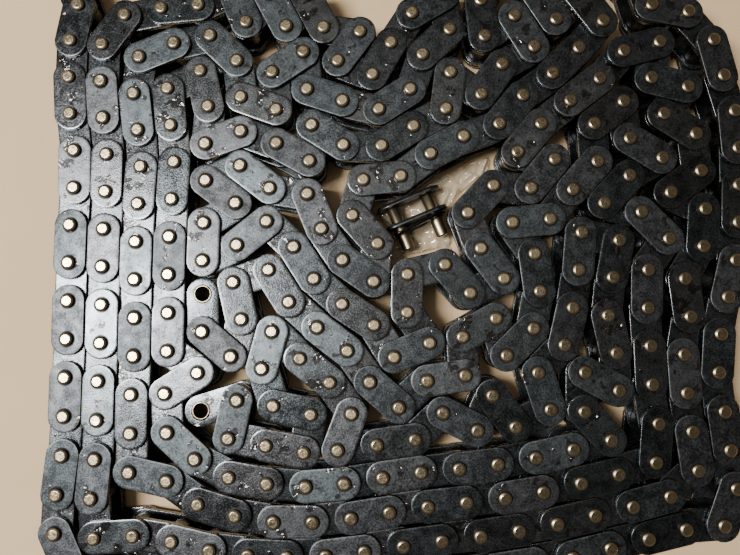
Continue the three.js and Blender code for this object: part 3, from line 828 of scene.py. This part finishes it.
def tempered_bush_steel():
    """Bush: strip steel curled to a tube and tempered to straw.

    Its end is bright from grinding. Painted shade blackens the rounding on both sides
    of that end and the bore beyond it. Black oil stays in the seam where the strip's
    ends meet.
    """
    material, add = new_material("tempered_bush_steel")
    plan = add("UVMap", uv_map=PLAN_MAP)
    reach = add("VectorMath", {0: plan}, operation="LENGTH")
    # Painted shade: black in the rounding on both sides of the ground ring and in the bore.
    off_middle = add("Math", {0: reach, 1: BUSH_END_MIDDLE}, operation="SUBTRACT")
    off_middle = add("Math", {0: off_middle}, operation="ABSOLUTE")
    painted_rim_shade = add("MapRange", {"Value": off_middle, **BUSH_PAINTED_SHADE})
    turned = add("VectorRotate", {"Vector": plan, "Angle": BUSH_SEAM_TURN}, rotation_type="Z_AXIS")
    split = add("SeparateXYZ", {0: turned})
    across = add("Math", {0: split.outputs["Y"]}, operation="ABSOLUTE")
    slit = add("MapRange", {"Value": across, **BUSH_SEAM})
    ahead = add("Math", {0: split.outputs["X"], 1: 0.0}, operation="GREATER_THAN")
    seam = add("Math", {0: slit, 1: ahead}, operation="MULTIPLY")
    shade_and_seam = add("Math", {0: painted_rim_shade, 1: seam}, operation="MAXIMUM")
    base = add("Mix", {0: shade_and_seam, 6: linear(BUSH_COLOUR), 7: linear(OIL_AND_SHADE_COLOUR)}, data_type="RGBA")
    return finish_material(
        material, {"Base Color": base, "Metallic": 1.0, "Roughness": BUSH_ROUGHNESS})


def oily_roller_steel():
    """Rollers: turned steel with an oil film, whose faint marks change its gloss."""
    material, add = new_material("oily_roller_steel")
    place = add("TexCoord").outputs["Object"]
    marks = add("TexNoise", {"Vector": place, **ROLLER_MARKS})
    rough = add("MapRange", {"Value": marks, **ROLLER_ROUGHNESS})
    pale = linear(ROLLER_COLOUR)
    dark = (*(ROLLER_DARK_SHARE * level for level in pale[:3]), 1.0)
    base = add("Mix", {0: marks, 6: dark, 7: pale}, data_type="RGBA")
    return finish_material(material, {"Base Color": base, "Metallic": 1.0, "Roughness": rough})


def clear_polythene_film(props):
    """Bag: clear polythene film, glossy, nearly unseen but for its creases."""
    material, add = new_material("clear_polythene_film")
    place = add("TexCoord").outputs["Object"]
    # Fine crumples, drawn out along the bag.
    turned = add(
        "VectorRotate", {"Vector": place, "Angle": -CRUMPLE_HEADING}, rotation_type="Z_AXIS")
    drawn = add("VectorMath", {0: turned, 1: CRUMPLE_STRETCH}, operation="MULTIPLY")
    crumple = add("TexNoise", {"Vector": drawn, **CRUMPLES})
    bump = add("Bump", {"Height": crumple, **CRUMPLE_RELIEF})
    facing = add("LayerWeight", {"Blend": FILM_BLEND}).outputs["Facing"]
    alpha = add("MapRange", {"Value": facing, **FILM_ALPHA})
    return finish_material(material, {
        "Base Color": linear(props.film_tint), "Roughness": FILM_ROUGHNESS, "Alpha": alpha,
        "Normal": bump, "Coat Weight": 1.0, "Coat Roughness": FILM_COAT_ROUGHNESS,
        "Specular IOR Level": 1.0})


def pale_matt_board():
    """Floor: pale matt board with a faint cloudy grain."""
    material, add = new_material("pale_matt_board")
    place = add("TexCoord").outputs["Object"]
    grain = add("TexNoise", {"Vector": place, **BOARD_GRAIN})
    base = add("Mix", {0: grain, 6: linear(BOARD_DARK), 7: linear(BOARD_PALE)}, data_type="RGBA")
    return finish_material(material, {"Base Color": base, "Roughness": BOARD_ROUGHNESS})


# Masters: each shape is modelled once about the origin, then copied.

def start_plate(name, height, reach, thick, drop=0.0):
    """Plate with straight sides and round ends whose middles are a reach apart, in edit
    mode, about the origin or a drop below it."""
    turn = math.pi / PLATE_SIDES
    obj = start_cylinder(name, PLATE_SIDES, height / 2 / math.cos(turn), thick, turn)
    pick("verts", lambda vert: vert.co.x > 0)
    bpy.ops.transform.translate(value=(reach, 0, 0))
    bpy.ops.mesh.select_all(action="SELECT")
    bpy.ops.transform.translate(value=(-reach / 2, 0, -drop))
    return obj


def plate_master(name, height, thick, material):
    """Plate of a link, whose stamped edge rolls down gently."""
    wall = thick - PLATE_ROLL_DEPTH
    obj = start_plate(name, height, PITCH * MM, wall, PLATE_ROLL_DEPTH / 2)
    top = wall / 2 - PLATE_ROLL_DEPTH / 2
    bevel_rim(top, PLATE_ROUNDING, 2)
    raise_face(top, PLATE_ROLL_WIDTH, PLATE_ROLL_DEPTH)
    return end_master(obj, material)


def pin_master(name, diameter, length, material):
    """Pin whose upper end is peened over: a steep lip, a slope and a small flat."""
    end_height = sum(rise for _, rise in PIN_STEPS)
    straight = length - end_height
    obj = start_cylinder(name, PIN_SIDES, diameter / 2, straight)
    bpy.ops.mesh.select_all(action="SELECT")
    bpy.ops.transform.translate(value=(0, 0, -end_height / 2))
    top = straight / 2 - end_height / 2
    for width, rise in PIN_STEPS:
        raise_face(top, width, rise)
        top += rise
    return end_master(obj, material)


def roller_master(name, material):
    """Roller with rounded rims."""
    obj = start_cylinder(name, ROLLER_SIDES, ROLLER_DIAMETER * MM / 2, ROLLER_LENGTH * MM)
    for side in (1, -1):
        bevel_rim(side * ROLLER_LENGTH * MM / 2, ROLLER_ROUNDING, 1)
    return end_master(obj, material)


def bush_master(name, material):
    """Bush: a curled steel tube whose ends stand just proud of the inner plates."""
    obj = start_cylinder(name, BUSH_SIDES, BUSH_DIAMETER * MM / 2, BUSH_LENGTH * MM)
    bpy.ops.object.mode_set(mode="OBJECT")
    cut_round(obj, (0, 0, 0), BUSH_BORE * MM)
    bpy.ops.object.mode_set(mode="EDIT")
    for side in (1, -1):
        bevel_rim(side * BUSH_LENGTH * MM / 2, BUSH_ROUNDING, 1)
    return end_master(obj, material)


def clip_master(name, material):
    """Spring clip: a round nose at its right end and two prongs, split at the left."""
    reach = (CLIP_LENGTH - LINK_PLATE_HEIGHT) * MM
    obj = start_plate(name, LINK_PLATE_HEIGHT * MM, reach, CLIP_THICK * MM)
    end_master(obj, material)
    slot_end = PITCH / 2 + COVER_HOLE / 2
    bpy.ops.object.select_all(action="DESELECT")
    bpy.ops.mesh.primitive_cube_add(size=1, location=(0, 0, 0))
    slot = bpy.context.object
    slot.scale = ((CLIP_LENGTH + slot_end) * MM, COVER_HOLE * MM, SLOT_CUTTER_HEIGHT)
    slot.location.x = (slot_end - CLIP_LENGTH) / 2 * MM
    bpy.ops.object.transform_apply(location=True, rotation=True, scale=True)
    cut_by(obj, slot)
    return obj


# Chain.

def room_to_tilt(*pins):
    """Largest tilt that keeps a link's round ends inside the model's box."""
    low, high = CAD_BOX
    rooms = []
    for pin in pins:
        rooms += [pin.x - low.x, high.x - pin.x, pin.y - low.y, high.y - pin.y]
    room = min(rooms) - OUTER_PLATE_HEIGHT / 2 * MM
    return max(room, 0) / (TILT_ARM * MM)


def small_tilt(rng, usual, room):
    """A random tilt, of at most twice its usual size and no more than there is room for."""
    most = min(2 * usual, room)
    return max(-most, min(most, rng.gauss(0, usual)))


def place_link(link, rng):
    """Middle of a link at mid height, its heading, and the small tilt its play allows."""
    start, end = PINS[link], PINS[link + 1]
    heading = math.atan2(end.y - start.y, end.x - start.x)
    middle = (start + end) / 2 + Vector((0, 0, MID_HEIGHT * MM))
    room = room_to_tilt(start, end)
    tilt_along = small_tilt(rng, PLATE_TILT, room)
    tilt_across = small_tilt(rng, PLATE_NOD, room)
    return (Matrix.Translation(middle) @ Matrix.Rotation(heading, 4, "Z")
            @ Matrix.Rotation(tilt_along, 4, "X") @ Matrix.Rotation(tilt_across, 4, "Y"))


def oiled_tone(tone):
    """The nearest tone of a plate that has kept its oil, as the inner plates have."""
    whole, part = divmod(tone * math.floor(SATIN_TURNS), 1)
    return (whole + SATIN_FROM * part) / SATIN_TURNS


def lifted(place, x, z):
    """A place moved along a link and up through its layers, in millimetres."""
    return place @ Matrix.Translation((x * MM, 0, z * MM))


def strand_masters(props):
    """Plates, pin, roller and bush that the stretches are copied from, by name."""
    blued = oiled_blued_steel(props)
    rollers = oily_roller_steel()
    last_height = LAST_OUTER_PLATE_HEIGHT * MM
    pin_length = (PIN_LENGTH - PIN_TRIM) * MM
    masters = [
        plate_master("outer_plate", props.outer_height, props.outer_thick, blued),
        plate_master("last_outer_plate", last_height, props.outer_thick, blued),
        plate_master("inner_plate", props.inner_height, props.inner_thick, blued),
        pin_master("pin", props.pin_diameter, pin_length, peened_pin_steel(props)),
        roller_master("roller", rollers),
        bush_master("bush", tempered_bush_steel()),
    ]
    return {master.name: master for master in masters}


def outer_link(link, place, tone, masters, rng):
    """Both plates of an outer link, and its two pins with tones of their own."""
    beside_free_end = link in (1, len(PINS) - 3)
    plate = masters["last_outer_plate" if beside_free_end else "outer_plate"]
    plates, pins = [], []
    for side in (-1, 1):
        plates.append(copy_of(plate, lifted(place, 0, side * OUTER_MIDDLE), tone))
        at = lifted(place, side * PITCH / 2, 0)
        pins.append(copy_of(masters["pin"], at, rng.random()))
    return plates, pins


def inner_link(link, place, tone, masters):
    """Both plates and rollers of an inner link, and the open bush of a free end."""
    plates, bushes = [], []
    for side in (-1, 1):
        at = lifted(place, 0, side * INNER_MIDDLE)
        plates.append(copy_of(masters["inner_plate"], at, oiled_tone(tone)))
        at = lifted(place, side * PITCH / 2, 0)
        plates.append(copy_of(masters["roller"], at, tone))
    free_side = {0: -1, len(PINS) - 2: 1}.get(link)
    if free_side:
        at = lifted(place, free_side * PITCH / 2, 0)
        for obj in plates:
            cut_round(obj, at.translation, BUSH_DIAMETER * MM)
        bushes.append(copy_of(masters["bush"], at, tone))
    return plates, bushes


# Bag.

def inside_outline(x, y):
    """Whether a place in millimetres lies inside the bag's outline."""
    inside = False
    for (ax, ay), (bx, by) in zip(FILM_OUTLINE, FILM_OUTLINE[1:] + FILM_OUTLINE[:1]):
        if (ay > y) != (by > y) and x < (bx - ax) * (y - ay) / (by - ay) + ax:
            inside = not inside
    return inside


def fold_rise(x, y):
    """How far the long folds lift the film at a place, in millimetres."""
    rise = 0.0
    for ax, ay, bx, by, height in FILM_FOLDS:
        lx, ly = bx - ax, by - ay
        along = ((x - ax) * lx + (y - ay) * ly) / (lx * lx + ly * ly)
        along = max(0, min(1, along))
        away = math.hypot(x - ax - along * lx, y - ay - along * ly) / FILM_FOLD_WIDTH
        taper = 1 - (2 * along - 1) ** 4
        rise = max(rise, height * taper * max(0, 1 - away))
    return rise


# Stage.

def area_light(name, place, aim, width, height, power, colour):
    """Soft box at a place, facing a point."""
    data = bpy.data.lights.new(name, "AREA")
    data.shape = "RECTANGLE"
    data.size = width
    data.size_y = height
    data.energy = power
    data.color = linear(colour)[:3]
    light = bpy.data.objects.new(name, data)
    light.location = place
    light.rotation_euler = (Vector(aim) - Vector(place)).to_track_quat("-Z", "Y").to_euler()
    bpy.context.collection.objects.link(light)


def light_room(scene):
    """Surroundings: warm light from the walls of the room, and little from above."""
    world = bpy.data.worlds.new("studio")
    scene.world = world
    world.use_nodes = True
    world.node_tree.nodes.clear()
    add = partial(add_node, world.node_tree)
    place = add("TexCoord").outputs["Generated"]
    up = add("SeparateXYZ", {0: place}).outputs["Z"]
    high = add("MapRange", {"Value": up, "From Max": WALL_TOP})
    glow = add("Mix", {0: high, 6: linear(WALL_GLOW), 7: linear(CEILING_GLOW)}, data_type="RGBA")
    backdrop = add("Background", {"Color": glow, "Strength": ROOM_STRENGTH})
    add("OutputWorld", {"Surface": backdrop})


def set_camera(context):
    """Camera where the picture's own view stands, with its lean and focal length."""
    lens = bpy.data.cameras.new("camera")
    lens.sensor_width = SENSOR_WIDTH
    lens.lens = VIEW_FOCAL_PX / PICTURE_WIDTH * SENSOR_WIDTH
    lens.clip_start = CLIP_START
    camera = bpy.data.objects.new("camera", lens)
    camera.location = CAMERA_FOOT + Vector((0, 0, (VIEW_HEIGHT + PIN_LENGTH) * MM))
    camera.rotation_euler = (math.atan2(VIEW_LEAN_SIN, VIEW_LEAN_COS), 0, 0)
    context.collection.objects.link(camera)
    context.scene.camera = camera


# Settings, operators and panel.

class ChainHeapSizes(bpy.types.PropertyGroup):
    """Sizes of the chain and colours of its finishes."""

    inner_height: bpy.props.FloatProperty(
        name="Inner plate height", description="Height of the inner plates",
        default=INNER_PLATE_HEIGHT * MM, unit="LENGTH", precision=5)
    outer_height: bpy.props.FloatProperty(
        name="Outer plate height", description="Height of the outer plates",
        default=OUTER_PLATE_HEIGHT * MM, unit="LENGTH", precision=5)
    inner_thick: bpy.props.FloatProperty(
        name="Inner plate thickness", description="Thickness of the inner plates",
        default=INNER_PLATE_THICK * MM, unit="LENGTH", precision=5)
    outer_thick: bpy.props.FloatProperty(
        name="Outer plate thickness", description="Thickness of the outer plates",
        default=PLATE_THICK * MM, unit="LENGTH", precision=5)
    pin_diameter: bpy.props.FloatProperty(
        name="Pin diameter", description="Diameter of the riveted pins",
        default=PIN_DIAMETER * MM, unit="LENGTH", precision=5)
    blued_dark: bpy.props.IntProperty(
        name="Darkest bluing", description="sRGB hex colour of the darkest plates",
        default=0x2a2d2f)
    blued_pale: bpy.props.IntProperty(
        name="Palest bluing", description="sRGB hex colour of the palest plates",
        default=0x686d70)
    pin_straw: bpy.props.IntProperty(
        name="Pin straw", description="sRGB hex colour of the peened pin ends",
        default=0xc2b597)
    film_tint: bpy.props.IntProperty(
        name="Film tint", description="sRGB hex colour of the clear bag",
        default=0xcfc3ac)


class CHAINHEAP_OT_strands(bpy.types.Operator):
    """Model the plates and rollers of every stretch, and its pins"""

    bl_idname = "chainheap.strands"
    bl_label = "Strands of chain"

    def execute(self, context):
        check_places()
        rng = random.Random(SEED)
        masters = strand_masters(context.scene.chain_heap)
        for name, first, last in stretches():
            plates, pins = [], []
            for link in range(first, last + 1):
                place = place_link(link, rng)
                tone = rng.random()
                if link % 2:
                    added = outer_link(link, place, tone, masters, rng)
                else:
                    added = inner_link(link, place, tone, masters)
                plates += added[0]
                pins += added[1]
            join_as(name + "_plates", plates, "blued_steel", name)
            join_as(name + "_pins", pins, "bright_steel", name)
        discard(*masters.values())
        return {"FINISHED"}


class CHAINHEAP_OT_connecting_link(bpy.types.Operator):
    """Model the connecting link: pin plate with its pins, cover plate, spring clip"""

    bl_idname = "chainheap.connecting_link"
    bl_label = "Connecting link"

    def execute(self, context):
        props = context.scene.chain_heap
        blued = bpy.data.materials["oiled_blued_steel"]
        straw = bpy.data.materials["peened_pin_steel"]
        stand = (Matrix.Translation([part * MM for part in LINK_PLACE])
                 @ Matrix.Rotation(LINK_HEADING, 4, "Z") @ Matrix.Rotation(math.pi / 2, 4, "X"))
        plate = plate_master("link_plate", LINK_PLATE_HEIGHT * MM, props.outer_thick, blued)
        pin = pin_master("link_pin", props.pin_diameter, LINK_PIN_LENGTH * MM, straw)
        parts = [copy_of(plate, lifted(stand, 0, PLATE_THICK / 2), LINK_PLATE_TONE)]
        for side, tone in zip((-1, 1), LINK_PIN_TONES):
            at = lifted(stand, side * PITCH / 2, LINK_PIN_LENGTH / 2)
            parts.append(copy_of(pin, at, tone))
        join_as("connecting_link_pins", parts, "bright_steel", "connecting_link_pin_plate")

        for side in (-1, 1):
            cut_round(plate, (side * PITCH * MM / 2, 0, 0), COVER_HOLE * MM)
        at = lifted(stand, 0, PLATE_THICK * 1.5 + COVER_REACH)
        join_as("connecting_link_cover", [copy_of(plate, at, COVER_TONE)], "blued_steel",
                "connecting_link_cover_plate")
        clip = clip_master("clip", blued)
        at = lifted(stand, 0, PLATE_THICK + CLIP_REACH + CLIP_THICK / 2)
        at = at @ Matrix.Rotation(CLIP_SPRING, 4, "Y")
        join_as("connecting_link_clip", [copy_of(clip, at, CLIP_TONE)], "blued_steel",
                "connecting_link_spring_clip")
        discard(plate, pin, clip)
        return {"FINISHED"}


class CHAINHEAP_OT_clear_bag(bpy.types.Operator):
    """Model the clear bag that lies crumpled round the connecting link"""

    bl_idname = "chainheap.clear_bag"
    bl_label = "Clear bag"

    def execute(self, context):
        film = clear_polythene_film(context.scene.chain_heap)
        bpy.ops.object.select_all(action="DESELECT")
        bpy.ops.mesh.primitive_grid_add(
            x_subdivisions=FILM_CELLS, y_subdivisions=FILM_CELLS, size=1)
        obj = bpy.context.object
        low = [min(corner[axis] for corner in FILM_OUTLINE) for axis in (0, 1)]
        high = [max(corner[axis] for corner in FILM_OUTLINE) for axis in (0, 1)]
        obj.scale = ((high[0] - low[0]) * MM, (high[1] - low[1]) * MM, 1)
        obj.location = ((high[0] + low[0]) * MM / 2, (high[1] + low[1]) * MM / 2, 0)
        bpy.ops.object.transform_apply(location=True, rotation=True, scale=True)
        bpy.ops.object.mode_set(mode="EDIT")
        pick("verts", lambda vert: not inside_outline(vert.co.x / MM, vert.co.y / MM))
        bpy.ops.mesh.delete(type="VERT")
        bpy.ops.object.mode_set(mode="OBJECT")

        # Straight creases between flat facets a few millimetres wide.
        crease = bpy.data.textures.new("creases", "VORONOI")
        crease.noise_scale = FILM_FACET * MM
        crease.distance_metric = "DISTANCE"
        apply_modifier(
            obj, "DISPLACE", texture=crease, texture_coords="LOCAL", direction="Z",
            mid_level=0.0, strength=FILM_LIFT * MM)
        for vert in obj.data.vertices:
            fold_height = fold_rise(vert.co.x / MM, vert.co.y / MM)
            vert.co.z = max(vert.co.z, 0.0) + (FILM_FOOT + fold_height) * MM
        apply_modifier(obj, "SOLIDIFY", thickness=FILM_THICK * MM)
        bpy.ops.object.shade_smooth()
        obj.data.materials.append(film)
        join_as("connecting_link_bag_film", [copy_of(obj, Matrix())], "clear_film",
                "connecting_link_bag")
        discard(obj)
        return {"FINISHED"}


class CHAINHEAP_OT_stage(bpy.types.Operator):
    """Set the floor, the lights, the surroundings and the camera"""

    bl_idname = "chainheap.stage"
    bl_label = "Floor, lights and camera"

    def execute(self, context):
        bpy.ops.object.select_all(action="DESELECT")
        bpy.ops.mesh.primitive_plane_add(size=FLOOR_SIZE, location=(0, 0, 0))
        floor = context.object
        floor.name = "floor"
        floor.data.materials.append(pale_matt_board())
        area_light("window", **WINDOW)
        area_light("fill", **FILL)
        light_room(context.scene)
        set_camera(context)
        return {"FINISHED"}


class CHAINHEAP_PT_panel(bpy.types.Panel):
    """Sizes and steps of the heap"""

    bl_label = "Chain heap"
    bl_idname = "CHAINHEAP_PT_panel"
    bl_space_type = "VIEW_3D"
    bl_region_type = "UI"
    bl_category = "Chain heap"

    def draw(self, context):
        for key in ChainHeapSizes.__annotations__:
            self.layout.prop(context.scene.chain_heap, key)
        for step in STEPS:
            self.layout.operator(step.bl_idname)


STEPS = (
    CHAINHEAP_OT_strands,
    CHAINHEAP_OT_connecting_link,
    CHAINHEAP_OT_clear_bag,
    CHAINHEAP_OT_stage,
)
CLASSES = (ChainHeapSizes, *STEPS, CHAINHEAP_PT_panel)


def register():
    """Make the settings, the steps and the panel known."""
    for cls in CLASSES:
        bpy.utils.register_class(cls)
    bpy.types.Scene.chain_heap = bpy.props.PointerProperty(type=ChainHeapSizes)


def unregister():
    """Take the settings, the steps and the panel away again."""
    del bpy.types.Scene.chain_heap
    for cls in reversed(CLASSES):
        bpy.utils.unregister_class(cls)


def main():
    """Model the heap step by step."""
    register()
    bpy.ops.chainheap.strands()
    bpy.ops.chainheap.connecting_link()
    bpy.ops.chainheap.clear_bag()
    bpy.ops.chainheap.stage()


if __name__ == "__main__":
    main()
